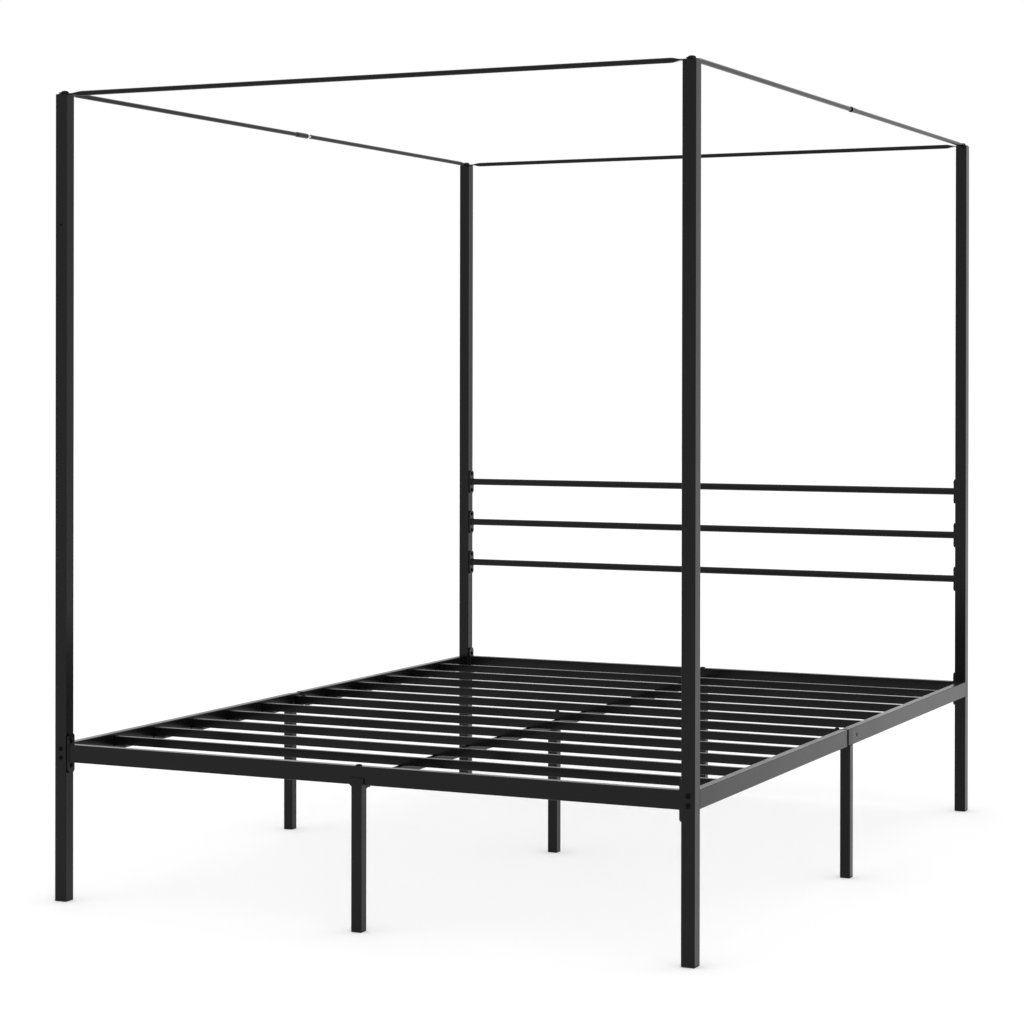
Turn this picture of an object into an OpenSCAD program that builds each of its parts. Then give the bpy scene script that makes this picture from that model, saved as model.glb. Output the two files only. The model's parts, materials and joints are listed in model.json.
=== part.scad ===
// Four poster canopy bed: a bolted frame of steel tube with a slatted platform,
// a three bar headboard and a canopy of round rods.
// Millimetres, +Z up, +Y to the head end, +X to the right side.
// The origin is on the floor under the middle of the bed.

/* [Bed] */
// Width over the posts
bed_w = 1550; // [1200:10:2100]
// Length over the posts
bed_l = 2100; // [1700:10:2600]
// Height of the top of the posts
post_top_z = 1829; // [1400:1:2300]
// Height of the top of the rails
rail_top_z = 356; // [290:1:460]

/* [Posts] */
// Side of the square post tube
post_side = 30; // [28:0.5:40]
// Wall of the post tube
post_wall = 1.2; // [1:0.1:2.5]
// Outer corner radius of the post tube
post_corner_r = 1.5; // [1.5:0.1:4]
// Thickness of the cap welded into the top
post_cap_t = 5; // [4:0.5:8]
// Hanging hole in the front of the left foot post, for the coating line
hang_hole_d = 5; // [3:0.5:8]
// Height of the hanging hole
hang_hole_z = 1533; // [1000:1:1700]

/* [Glides] */
// Height of a glide below its tube
glide_h = 4; // [3:0.5:12]
// Length of the plug inside the tube
glide_plug_l = 16; // [10:1:30]
// Clearance between plug and tube, each side
glide_gap = 0.2; // [0.1:0.05:0.5]

/* [Rails] */
// Height of the rail tube
rail_h = 40; // [34:1:60]
// Thickness of the rail tube
rail_t = 20; // [18:0.5:22]
// Wall of the rail tube
rail_wall = 1.2; // [1:0.1:2]
// Outer corner radius of the rail tube
rail_corner_r = 2; // [1.2:0.1:3]
// Distance of a rail plate's bolts above and below its rail
rail_bolt_reach = 8; // [6:0.5:14]
// Height of a rail plate beyond its bolts
rail_plate_edge = 16; // [8:0.5:20]
// Bevel on the corners of the end plates
plate_bevel = 5; // [1:0.5:8]
// Thickness of all end plates that lie against the posts
plate_t = 5; // [2:0.5:6]
// Distance of a side rail's end bolts above and below its middle
side_bolt_rise = 10; // [8:0.5:13]
// Thickness of the threaded plate in each end of a side rail
side_end_t = 5; // [3:0.5:10]

/* [Side rail joint] */
// Distance of the open mouth from the middle of the bed
joint_mouth_y = 45; // [30:1:120]
// Gap between the two halves of a side rail at the mouth
joint_gap = 3; // [1:0.5:6]
// Depth of the curve cut into the mouth
joint_arc_depth = 3; // [1:0.5:5]
// Length over which the inner half is pinched before the mouth
joint_pinch_l = 40; // [20:1:60]
// Depth of the pinch
joint_pinch = 1.4; // [0.5:0.1:2]
// Length of the insert beyond the mouth
insert_out_l = 80; // [50:1:120]
// Length of the insert behind the middle of the bed
insert_in_l = 61; // [50:1:90]
// Wall of the insert
insert_wall = 1.5; // [1:0.1:2]
// Clearance between the insert and the rail, each side
insert_gap = 0.4; // [0.2:0.05:0.8]
// Diameter of the plug weld hole over the insert
weld_hole_d = 9.5; // [6:0.5:12]
// Distance of the plug weld hole from the middle of the bed
weld_hole_y = 31; // [20:1:45]

/* [Headboard] */
// Height of the middle of the top bar
head_bar_top_z = 879; // [700:1:1000]
// Distance from one bar to the next
head_bar_pitch = 120.5; // [100:0.5:150]
// Diameter of a bar
head_bar_d = 19; // [16:0.5:25]
// Wall of a bar
head_bar_wall = 1.2; // [1:0.1:2]
// Distance of a bar plate's bolts above and below its bar
head_bolt_reach = 14.7; // [6.5:0.1:20]
// Height of a bar plate beyond its bolts
head_plate_edge = 8.8; // [7:0.1:15]
// Width of all end plates
plate_w = 24; // [18:0.5:25]

/* [Canopy] */
// Diameter of a canopy rod
rod_d = 11; // [9:0.1:16]
// Wall of a canopy rod
rod_wall = 1; // [0.8:0.1:1.5]
// Length of the squashed flat end of a rod
rod_tab_l = 35; // [32:1:60]
// Length over which the end swells back to a round rod
rod_taper_l = 25; // [15:1:40]
// Corner radius of the flat end
rod_tab_r = 3; // [1:0.5:5]
// Wall of the couplers around the side rods
coupler_wall = 1.1; // [1:0.1:3]
// Where the left coupler starts
left_coupler_y = 12; // [5:1:20]
// Length of the left coupler
left_coupler_l = 58; // [45:1:70]
// Length of stud that shows behind the left coupler
left_stud_gap = 18; // [2:1:20]
// Where the right coupler starts
right_coupler_y = 20; // [10:1:30]
// Length of the right coupler
right_coupler_l = 60; // [50:1:80]
// Bare length of spigot in front of the right coupler
right_spigot_gap = 18; // [4:1:20]
// Depth of the rod socket in a coupler
coupler_socket_l = 34; // [20:1:38]
// Clearance between a rod and its socket, each side
coupler_gap = 0.2; // [0.1:0.05:0.4]
// Length of each stud inside a coupler, and inside a rod
stud_hold_l = 16; // [10:1:20]

/* [Slats] */
// Number of slats, odd so that one lies over the middle legs
slat_count = 11; // [7:2:11]
// Width of a slat
slat_w = 12; // [12:0.5:20]
// Height of a slat
slat_h = 20; // [16:0.5:24]
// Wall of the slats and the centre beam
slat_wall = 1; // [0.8:0.1:1.5]
// Corner radius of the slats and the centre beam
slat_corner_r = 1.5; // [1.1:0.1:2.5]
// Distance of the slat tops below the rail tops
slat_drop = 6; // [2:0.5:10]
// Distance from the outside of the end posts to the middle of the first slat
slat_end_l = 204; // [150:1:260]
// Shift of the whole row of slats to the head end
slat_shift = 8; // [6:1:12]
// Clearance between a slat's end and the side rail
slat_gap = 0.5; // [0.3:0.1:2]

/* [Cleats] */
// Length of the cleat under each slat end
cleat_l = 32; // [30:1:50]
// Thickness of a cleat
cleat_t = 2; // [1.5:0.1:3]
// Distance of the cleat's upright above the bottom of the rail
cleat_edge = 1; // [0.5:0.5:5]
// Diameter of the locating stud on a cleat
cleat_stud_d = 6; // [4:0.5:7]
// Height of the locating stud
cleat_stud_h = 7; // [4:0.5:12]
// Distance of the locating stud from the side rail
cleat_stud_x = 15; // [8:1:20]
// Distance of the middle slat's end bolts from the side rail
cleat_bolt_x = 22; // [12:1:24]

/* [Centre beam] */
// Width of the centre beam
beam_w = 12; // [12:0.5:20]
// Height of the centre beam
beam_h = 20; // [16:0.5:24]
// Where the two halves of the beam meet
beam_joint_y = -40; // [-60:1:-36]
// Length of the spigot in the rear half of the beam
beam_spigot_l = 70; // [65:1:90]
// Length of the spigot in the front half of the beam
beam_spigot_hold_l = 50; // [30:1:60]
// Clearance around the beam spigot, each side
beam_gap = 0.3; // [0.2:0.05:0.5]

/* [Legs] */
// Side of the square leg tube
leg_side = 25; // [22:0.5:28]
// Wall of the leg tube
leg_wall = 1.2; // [1:0.1:2]
// Outer corner radius of the leg tube
leg_corner_r = 2; // [1.3:0.1:3]
// Thickness of the threaded cap in the top of a leg
leg_cap_t = 8; // [6:0.5:12]
// Where the three middle legs stand along the bed
mid_leg_y = -10; // [-12:0.5:-9]
// Width of the tab on each side leg
leg_tab_w = 18; // [14:0.5:19]
// Height of the tab above the leg
leg_tab_h = 32; // [26:1:36]
// Thickness of the tab
leg_tab_t = 2; // [1.5:0.1:3]
// Thickness of the brackets and of the saddle on the middle leg
bracket_t = 3; // [2:0.5:4]
// Width of the lip of the brackets on the end legs
bracket_w = 36; // [28:1:60]
// Height of a bracket's lip above the bottom of the rail
bracket_lip_h = 15; // [8:1:25]
// Length of a bracket's tail along the beam
bracket_tail_l = 48; // [40:1:90]
// Height of the tail's cheeks above the bottom of the beam
bracket_cheek_h = 10; // [6:0.5:16]
// Depth of the cheeks below the beam where they leave the leg
bracket_cheek_drop = 6; // [4:0.5:12]
// Height that the lower edge of a cheek gains along the tail
bracket_cheek_rise = 10; // [6:0.5:11]
// Height of the saddle's cheeks above the bottom of the beam
saddle_cheek_h = 12; // [6:1:16]
// Clearance between pieces that seat in a bracket
seat_gap = 0.5; // [0.2:0.1:1]

/* [Bolts] */
// Diameter of the frame bolts
bolt_d = 6; // [5:0.5:6.5]
// Diameter of a frame bolt's head
bolt_head_d = 11; // [9:0.5:12]
// Height of a frame bolt's head
bolt_head_h = 3.5; // [2.5:0.5:5]
// Diameter of the heads of the long bolts through the end rails
rail_top_head_d = 15; // [11:0.5:17]
// Diameter of the canopy bolts
canopy_bolt_d = 8; // [6:0.5:8]
// Diameter of a canopy bolt's head
canopy_head_d = 17.5; // [13:0.5:20]
// Height of a canopy bolt's head
canopy_head_h = 5; // [3:0.5:7]
// Length of a canopy bolt below its head
canopy_bolt_l = 16; // [14:1:30]
// Nut size across flats
nut_af = 10; // [9:0.5:10]
// Nut height
nut_h = 5; // [4:0.5:6]
// Clearance around a bolt in a plain hole, on the radius
hole_gap = 0.3; // [0.2:0.05:0.5]
// Clearance around a bolt in a thread, on the radius
thread_gap = 0.05; // [0.02:0.01:0.1]

/* [Hidden] */
$fn = 48;
cut = 1; // how far a cut runs past the face it opens
tiny = 0.01; // thickness of the end slices that a hull joins
hair = 0.05; // how far the ends of a swell lie inside what they join

steel_black = "#26272a";
glide_black = "#151516";
bolt_black = "#1b1b1d";
zinc = "#b9bcc0";

post_x = bed_w / 2 - post_side / 2;
post_y = bed_l / 2 - post_side / 2;
post_in_x = bed_w / 2 - post_side;
post_in_y = bed_l / 2 - post_side;

rail_z = rail_top_z - rail_h / 2;
rail_bottom_z = rail_top_z - rail_h;
side_rail_x = bed_w / 2 - rail_t / 2;
side_rail_in_x = bed_w / 2 - rail_t;
side_bolt_x = max(post_x, side_rail_in_x + rail_wall + bolt_d / 2 + seat_gap);
end_rail_out_y = post_y + rail_t / 2;
rail_plate_rise = rail_h / 2 + rail_bolt_reach;
rail_plate_h = 2 * (rail_plate_rise + rail_plate_edge);

head_plate_rise = head_bar_d / 2 + head_bolt_reach;
head_plate_h = 2 * (head_plate_rise + head_plate_edge);

// A squashed end keeps the length of steel that goes around the tube
rod_tab_t = 2 * rod_wall;
rod_tab_w = round(10 * (rod_tab_t + PI * (rod_d - rod_tab_t) / 2)) / 10;
coupler_d = rod_d + 2 * (coupler_gap + coupler_wall);

insert_h = rail_h - 2 * rail_wall - 2 * insert_gap;
insert_t = rail_t - 2 * rail_wall - 2 * insert_gap;
insert_screw_y = -joint_mouth_y - insert_out_l / 2;

slat_top_z = rail_top_z - slat_drop;
slat_bottom_z = slat_top_z - slat_h;
slat_half_l = side_rail_in_x - slat_gap;
slat_pitch = (bed_l - 2 * slat_end_l) / (slat_count - 1);
function slat_y(i) = slat_shift + (i - (slat_count + 1) / 2) * slat_pitch;
middle_slat = (slat_count + 1) / 2;
cleat_h = slat_bottom_z - rail_bottom_z - cleat_edge;

beam_top_z = slat_bottom_z;
beam_bottom_z = beam_top_z - beam_h;
beam_z = beam_top_z - beam_h / 2;

leg_x = bed_w / 2 - leg_side / 2;
end_leg_top_z = rail_bottom_z - bracket_t;
riser_y = post_y - leg_side / 2 - seat_gap;
beam_end_y = riser_y - bracket_t - seat_gap;
tail_screw_y = beam_end_y - bracket_tail_l / 2;
leg_tab_y = mid_leg_y - leg_side / 2 + leg_tab_w / 2;
leg_tab_bolt_z = rail_bottom_z + leg_tab_h - bolt_head_d;

rod_flat_l = max(rod_tab_l, post_side + rod_tab_r);

// Lengths of the bolts, from the faces that they clamp
side_bolt_l = post_side + side_end_t + nut_h;
plate_bolt_l = plate_t + post_wall + nut_h + bolt_d / 2;
leg_bolt_l = rail_h + bracket_t + leg_cap_t;
leg_tab_bolt_l = leg_tab_t + rail_wall + insert_gap + insert_wall + nut_h;
slat_bolt_l = slat_h + cleat_t + nut_h + bolt_d / 2;
middle_bolt_l = slat_h + beam_h + bracket_t + nut_h + bolt_d / 2;
joint_screw_l = rail_wall + insert_gap + insert_wall + nut_h;

// ---- Shared shapes ----

// Turns a shape that was extruded along Z so that it runs along X: its x
// becomes Y and its y becomes Z
module along_x() {
    rotate([90, 0, 90]) children();
}

// Turns a shape that was extruded along Z so that it runs along Y
module along_y() {
    rotate([-90, 0, 0]) children();
}

// Rectangle with round corners
module round_rect(w, d, r) {
    square([w - 2 * r, d], center = true);
    square([w, d - 2 * r], center = true);
    for (x = [-1, 1], y = [-1, 1])
        translate([x * (w / 2 - r), y * (d / 2 - r)]) circle(r = r);
}

// The inside of a tube with round corners
module bore_rect(w, d, wall, r) {
    round_rect(w - 2 * wall, d - 2 * wall, max(r - wall, 0.3));
}

// Rectangular tube of length l, standing on the origin
module rect_tube(w, d, wall, r, l) {
    linear_extrude(height = l)
        difference() {
            round_rect(w, d, r);
            bore_rect(w, d, wall, r);
        }
}

// Square tube from z0 to z1 with a solid cap in its top
module capped_tube(side, wall, r, z0, z1, cap_t) {
    difference() {
        translate([0, 0, z0]) linear_extrude(height = z1 - z0) round_rect(side, side, r);
        translate([0, 0, z0 - cut]) linear_extrude(height = z1 - z0 - cap_t + cut)
            bore_rect(side, side, wall, r);
    }
}

// Bolt hanging down from the origin, with its domed head above
module dome_bolt(d, l, head_d, head_h) {
    dome_r = (pow(head_d / 2, 2) + pow(head_h, 2)) / (2 * head_h);
    socket_af = d * 0.62;
    difference() {
        union() {
            translate([0, 0, -l]) cylinder(d = d, h = l + tiny);
            intersection() {
                translate([0, 0, head_h - dome_r]) sphere(r = dome_r);
                cylinder(d = head_d, h = head_h);
            }
        }
        translate([0, 0, head_h * 0.35])
            cylinder(d = socket_af / cos(30), h = head_h, $fn = 6);
    }
}

module frame_bolt(l) {
    dome_bolt(bolt_d, l, bolt_head_d, bolt_head_h);
}

// Hex nut standing on the origin
module nut() {
    difference() {
        cylinder(d = nut_af / cos(30), h = nut_h, $fn = 6);
        translate([0, 0, -cut]) cylinder(d = bolt_d + 2 * thread_gap, h = nut_h + 2 * cut);
    }
}

// Plain bolt hole of length l, centred on the origin along Z
module bolt_hole(l) {
    cylinder(d = bolt_d + 2 * hole_gap, h = l, center = true);
}

// Threaded bolt hole of length l, centred on the origin along Z
module bolt_thread(l) {
    cylinder(d = bolt_d + 2 * thread_gap, h = l, center = true);
}

// Plate with bevelled corners against a post, across X, from x = 0 inwards
module end_plate(h, rise) {
    w = plate_w;
    b = plate_bevel;
    difference() {
        translate([-plate_t, 0, 0]) along_x() linear_extrude(height = plate_t)
            polygon([[-w / 2, -h / 2 + b], [-w / 2 + b, -h / 2], [w / 2 - b, -h / 2],
                     [w / 2, -h / 2 + b], [w / 2, h / 2 - b], [w / 2 - b, h / 2],
                     [-w / 2 + b, h / 2], [-w / 2, h / 2 - b]]);
        for (s = [-1, 1])
            translate([-plate_t / 2, 0, s * rise]) along_x() bolt_hole(plate_t + 2 * cut);
    }
}

// ---- Posts ----

function head_bar_z(i) = head_bar_top_z - i * head_bar_pitch;

// Heights of the bolts on the inner face of a post
function post_plate_zs(head) = concat(
    [rail_z - rail_plate_rise, rail_z + rail_plate_rise],
    head ? [for (i = [0:2], s = [-1, 1]) head_bar_z(i) + s * head_plate_rise] : []);

// One post; sx and sy are the corner that it stands in
module post(sx, sy) {
    color(steel_black)
        translate([sx * post_x, sy * post_y, 0])
        difference() {
            capped_tube(post_side, post_wall, post_corner_r, glide_h, post_top_z, post_cap_t);
            translate([0, 0, post_top_z])
                cylinder(d = canopy_bolt_d + 2 * thread_gap, h = 2 * post_cap_t + cut, center = true);
            for (s = [-1, 1])
                translate([sx * (side_bolt_x - post_x), 0, rail_z + s * side_bolt_rise])
                    along_y() bolt_hole(post_side + 2 * cut);
            for (z = post_plate_zs(sy > 0))
                translate([-sx * (post_side - post_wall) / 2, 0, z]) along_x()
                    bolt_hole(post_wall + cut);
            if (sx < 0 && sy < 0)
                translate([0, -(post_side - post_wall) / 2, hang_hole_z]) along_y()
                    cylinder(d = hang_hole_d, h = post_wall + cut, center = true);
        }
}

// Moulded glide for a square tube: a foot below it and a hollow plug inside it
module glide(side, wall, r) {
    plug_side = side - 2 * wall - 2 * glide_gap;
    plug_wall = 2.5;
    linear_extrude(height = glide_h) round_rect(side, side, r);
    translate([0, 0, glide_h - tiny])
        rect_tube(plug_side, plug_side, plug_wall, max(r - wall, 0.3), glide_plug_l);
}

module post_glides() {
    color(glide_black)
        for (sx = [-1, 1], sy = [-1, 1])
            translate([sx * post_x, sy * post_y, 0]) glide(post_side, post_wall, post_corner_r);
}

// Nuts welded inside the posts, behind every bolt of the end plates
module post_weld_nuts() {
    color(zinc)
        for (sx = [-1, 1], sy = [-1, 1], z = post_plate_zs(sy > 0))
            translate([sx * (post_in_x + post_wall), sy * post_y, z])
                rotate([0, sx * 90, 0]) nut();
}

// ---- Foot and head rails ----

// The rail between two posts, with its end plates; sy is -1 at the foot
module end_rail(sy) {
    half_l = post_in_x - plate_t;
    color(steel_black)
        translate([0, sy * post_y, rail_z])
        difference() {
            union() {
                translate([-half_l - tiny, 0, 0]) along_x()
                    rect_tube(rail_t, rail_h, rail_wall, rail_corner_r, 2 * (half_l + tiny));
                for (sx = [-1, 1])
                    translate([sx * post_in_x, 0, 0]) rotate([0, 0, sx > 0 ? 0 : 180])
                        end_plate(rail_plate_h, rail_plate_rise);
            }
            bolt_hole(rail_h + 2 * cut);
        }
}

module end_rail_bolts() {
    color(bolt_black)
        for (sx = [-1, 1], sy = [-1, 1], s = [-1, 1])
            translate([sx * (post_in_x - plate_t), sy * post_y, rail_z + s * rail_plate_rise])
                rotate([0, -sx * 90, 0]) frame_bolt(plate_bolt_l);
}

// ---- Side rails ----

// Each side rail is two halves that plug together near the middle. The left
// rail is the right one turned end for end.

// Cleats for the slats that lie on the stretch from y0 to y1 of the side sx
module cleats(sx, y0, y1) {
    for (i = [1:slat_count])
        if (slat_y(i) > y0 && slat_y(i) < y1)
            translate([sx * side_rail_in_x, slat_y(i), slat_bottom_z])
                mirror([sx > 0 ? 0 : 1, 0, 0]) cleat(i == middle_slat);
}

// One cleat, reaching from x = 0 inwards with its top at z = 0
module cleat(bolted) {
    difference() {
        union() {
            translate([-cleat_l, -slat_w / 2, -cleat_t]) cube([cleat_l + tiny, slat_w, cleat_t]);
            translate([-cleat_t, -slat_w / 2, -cleat_h]) cube([cleat_t + tiny, slat_w, cleat_h]);
            if (!bolted)
                translate([-cleat_stud_x, 0, -tiny]) cylinder(d = cleat_stud_d, h = cleat_stud_h);
        }
        if (bolted)
            translate([-cleat_bolt_x, 0, -cleat_t / 2]) bolt_hole(cleat_t + 2 * cut);
    }
}

// Threads for the end bolts of a side rail, in its end plate at y
module side_end_threads(y) {
    for (s = [-1, 1])
        translate([side_bolt_x, y, rail_z + s * side_bolt_rise]) along_y()
            bolt_thread(side_end_t + 2 * cut);
}

// Solid length of side rail from y0 to y1, or its inside when inside is true
module side_rail_bar(y0, y1, inside = false) {
    translate([side_rail_x, y0, rail_z]) along_y() linear_extrude(height = y1 - y0)
        if (inside) bore_rect(rail_t, rail_h, rail_wall, rail_corner_r);
        else round_rect(rail_t, rail_h, rail_corner_r);
}

// The half with the open mouth, along -Y of the right side
module mouth_half() {
    arc_r = (pow(rail_h / 2, 2) + pow(joint_arc_depth, 2)) / (2 * joint_arc_depth);
    difference() {
        side_rail_bar(-post_in_y, -joint_mouth_y);
        side_rail_bar(-post_in_y + side_end_t, 0, inside = true);
        side_end_threads(-post_in_y + side_end_t / 2);
        translate([side_rail_x, -joint_mouth_y - joint_arc_depth + arc_r, rail_z]) along_x()
            cylinder(r = arc_r, h = rail_t + 2 * cut, center = true);
        translate([side_rail_x, insert_screw_y, rail_bottom_z]) bolt_hole(4 * rail_wall);
    }
}

// The half with the insert, along +Y of the right side. Its last stretch is
// pinched on the top, the bottom and the outside. The leg's bolt is at tab_y.
module insert_half(tab_y) {
    pinch_y = joint_pinch_l - joint_mouth_y + joint_gap;
    difference() {
        union() {
            side_rail_bar(pinch_y, post_in_y);
            hull() {
                side_rail_bar(pinch_y, pinch_y + tiny);
                translate([side_rail_x - joint_pinch / 2, -joint_mouth_y + joint_gap, rail_z])
                    along_y() linear_extrude(height = tiny)
                    round_rect(rail_t - joint_pinch, rail_h - 2 * joint_pinch, rail_corner_r);
            }
            translate([side_rail_x, -joint_mouth_y - insert_out_l, rail_z]) along_y()
                linear_extrude(height = insert_out_l + joint_gap + cut)
                round_rect(insert_t, insert_h, rail_corner_r);
        }
        translate([side_rail_x, -joint_mouth_y - insert_out_l - cut, rail_z]) along_y()
            linear_extrude(height = joint_mouth_y + insert_out_l + insert_in_l + 2 * cut)
            bore_rect(insert_t, insert_h, insert_wall, rail_corner_r);
        side_rail_bar(insert_in_l, post_in_y - side_end_t, inside = true);
        side_end_threads(post_in_y - side_end_t / 2);
        translate([bed_w / 2, weld_hole_y, rail_z]) along_x()
            cylinder(d = weld_hole_d, h = 2 * rail_wall, center = true);
        translate([side_rail_x, insert_screw_y, rail_bottom_z + rail_wall]) bolt_hole(rail_h / 2);
        translate([side_rail_in_x, tab_y, leg_tab_bolt_z]) along_x() bolt_hole(rail_t);
    }
}

// The part of the side sx from y0 to y1 that its cleats are welded to is
// given as children
module side_rail(sx, y0, y1) {
    color(steel_black) {
        rotate([0, 0, sx > 0 ? 0 : 180]) children();
        cleats(sx, y0, y1);
    }
}

module side_rail_right_front() {
    side_rail(1, -post_y, -joint_mouth_y) mouth_half();
}

module side_rail_right_rear() {
    side_rail(1, -joint_mouth_y, post_y) insert_half(leg_tab_y);
}

module side_rail_left_front() {
    side_rail(-1, -post_y, joint_mouth_y) insert_half(-leg_tab_y);
}

module side_rail_left_rear() {
    side_rail(-1, joint_mouth_y, post_y) mouth_half();
}

module side_rail_bolts() {
    color(bolt_black)
        for (sx = [-1, 1], sy = [-1, 1], s = [-1, 1])
            translate([sx * side_bolt_x, sy * bed_l / 2, rail_z + s * side_bolt_rise])
                rotate([-sy * 90, 0, 0]) frame_bolt(side_bolt_l);
}

module side_rail_joint_screws() {
    color(bolt_black)
        for (turn = [0, 180])
            rotate([0, 0, turn]) translate([side_rail_x, insert_screw_y, rail_bottom_z])
                rotate([180, 0, 0]) frame_bolt(joint_screw_l);
}

// Nuts welded inside the inserts, for the joint screws and the side legs
module rail_weld_nuts() {
    color(zinc) {
        for (turn = [0, 180])
            rotate([0, 0, turn])
                translate([side_rail_x, insert_screw_y,
                           rail_bottom_z + rail_wall + insert_gap + insert_wall]) nut();
        for (sx = [-1, 1])
            translate([sx * (side_rail_in_x + rail_wall + insert_gap + insert_wall),
                       leg_tab_y, leg_tab_bolt_z])
                rotate([0, sx * 90, 0]) nut();
    }
}

// ---- Headboard ----

module headboard_bar(i) {
    half_l = post_in_x - plate_t;
    color(steel_black)
        translate([0, post_y, head_bar_z(i)]) {
            translate([-half_l - tiny, 0, 0]) along_x() linear_extrude(height = 2 * (half_l + tiny))
                difference() {
                    circle(d = head_bar_d);
                    circle(d = head_bar_d - 2 * head_bar_wall);
                }
            for (sx = [-1, 1])
                translate([sx * post_in_x, 0, 0]) rotate([0, 0, sx > 0 ? 0 : 180])
                    end_plate(head_plate_h, head_plate_rise);
        }
}

module headboard_bolts() {
    color(bolt_black)
        for (sx = [-1, 1], i = [0:2], s = [-1, 1])
            translate([sx * (post_in_x - plate_t), post_y, head_bar_z(i) + s * head_plate_rise])
                rotate([0, -sx * 90, 0]) frame_bolt(plate_bolt_l);
}

// ---- Canopy ----

// Squashed end of a rod that lies along X. The post's outer face is at x = 0,
// the rod goes to +x and the tab is centred on z = 0.
module rod_end() {
    difference() {
        union() {
            translate([rod_flat_l / 2, 0, -rod_tab_t / 2]) linear_extrude(height = rod_tab_t)
                round_rect(rod_flat_l, rod_tab_w, rod_tab_r);
            translate([rod_flat_l / 2, -rod_tab_w / 2, -rod_tab_t / 2])
                cube([rod_flat_l / 2 + tiny, rod_tab_w, rod_tab_t]);
        }
        translate([post_side / 2, 0, 0])
            cylinder(d = canopy_bolt_d + 2 * hole_gap, h = rod_tab_t + 2 * cut, center = true);
    }
    hull() {
        translate([rod_flat_l - cut, hair - rod_tab_w / 2, hair - rod_tab_t / 2])
            cube([tiny, rod_tab_w - 2 * hair, rod_tab_t - 2 * hair]);
        translate([rod_flat_l + rod_taper_l + cut, 0, 0]) along_x()
            cylinder(d = rod_d - 2 * hair, h = tiny, $fn = 32);
    }
}

// Round tube of a rod along X from x0 to x1
module rod_tube(x0, x1) {
    translate([x0, 0, 0]) along_x() linear_extrude(height = x1 - x0)
        difference() {
            circle(d = rod_d);
            circle(d = rod_d - 2 * rod_wall);
        }
}

// Rod across the bed, in one piece, at the foot (sy = -1) or the head
module end_rod(sy) {
    round_x = bed_w / 2 - rod_flat_l - rod_taper_l;
    color(steel_black)
        translate([0, sy * post_y, post_top_z + rod_tab_t / 2]) {
            rod_tube(-round_x, round_x);
            for (turn = [0, 180])
                rotate([0, 0, turn]) translate([-bed_w / 2, 0, 0]) rod_end();
        }
}

// Moves a rod along X with its start at the foot on to the side sx
module on_side(sx) {
    translate([sx * post_x, 0, post_top_z + rod_tab_t * 3 / 2]) rotate([0, 0, 90]) children();
}

// Solid end of a side rod from y0 to y1, with a thread for the stud, and a
// plain round spigot on it where d is less than the rod
module rod_plug(y0, y1, d) {
    translate([y0, 0, 0]) along_x() difference() {
        cylinder(d = d, h = y1 - y0);
        translate([0, 0, -cut]) cylinder(d = bolt_d + 2 * thread_gap, h = y1 - y0 + 2 * cut);
    }
}

module side_rod_front(sx, end_y) {
    round_y = -bed_l / 2 + rod_flat_l + rod_taper_l;
    color(steel_black)
        on_side(sx) {
            translate([-bed_l / 2, 0, 0]) rod_end();
            rod_tube(round_y, end_y);
            children();
        }
}

module side_rod_rear(sx, start_y) {
    round_y = bed_l / 2 - rod_flat_l - rod_taper_l;
    color(steel_black)
        on_side(sx) {
            translate([bed_l / 2, 0, 0]) rotate([0, 0, 180]) rod_end();
            rod_tube(start_y + stud_hold_l, round_y);
            rod_plug(start_y, start_y + stud_hold_l + tiny, rod_d);
        }
}

left_coupler_end_y = left_coupler_y + left_coupler_l;
right_coupler_end_y = right_coupler_y + right_coupler_l;
right_spigot_d = rod_d - 2 * rod_wall;

module canopy_rod_left_front() {
    side_rod_front(-1, left_coupler_y + coupler_socket_l - coupler_gap);
}

module canopy_rod_left_rear() {
    side_rod_rear(-1, left_coupler_end_y + left_stud_gap);
}

// The right front rod ends in a thinner solid spigot, part of which shows
module canopy_rod_right_front() {
    start_y = right_coupler_y - right_spigot_gap;
    side_rod_front(1, start_y)
        translate([start_y - stud_hold_l, 0, 0]) along_x()
            cylinder(d = right_spigot_d, h = stud_hold_l + right_spigot_gap + coupler_socket_l - coupler_gap);
}

module canopy_rod_right_rear() {
    side_rod_rear(1, right_coupler_end_y);
}

// Sleeve on the left: a straight barrel with a rounded nose to the head end
module canopy_coupler_left() {
    l = left_coupler_l;
    r = coupler_d / 2;
    nose_r = r - bolt_d / 2 - 1;
    color(steel_black)
        on_side(-1) translate([left_coupler_y, 0, 0]) along_x()
        difference() {
            union() {
                cylinder(r1 = r - 0.8, r2 = r, h = 3);
                translate([0, 0, 3 - tiny]) cylinder(r = r, h = l - nose_r - 3 + tiny);
                translate([0, 0, l - nose_r]) rotate_extrude() {
                    square([r - nose_r, nose_r]);
                    translate([r - nose_r, 0]) intersection() {
                        circle(r = nose_r);
                        square(nose_r);
                    }
                }
            }
            translate([0, 0, -cut]) cylinder(d = rod_d + 2 * coupler_gap, h = coupler_socket_l + cut);
            cylinder(d = bolt_d + 2 * thread_gap, h = l + cut);
        }
}

// Sleeve on the right: a cone that closes down to the rear rod
module canopy_coupler_right() {
    l = right_coupler_l;
    color(steel_black)
        on_side(1) translate([right_coupler_y, 0, 0]) along_x()
        difference() {
            cylinder(d1 = coupler_d, d2 = rod_d, h = l);
            translate([0, 0, -cut])
                cylinder(d = right_spigot_d + 2 * coupler_gap, h = coupler_socket_l + cut);
            cylinder(d = bolt_d + 2 * thread_gap, h = l + cut);
        }
}

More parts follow.
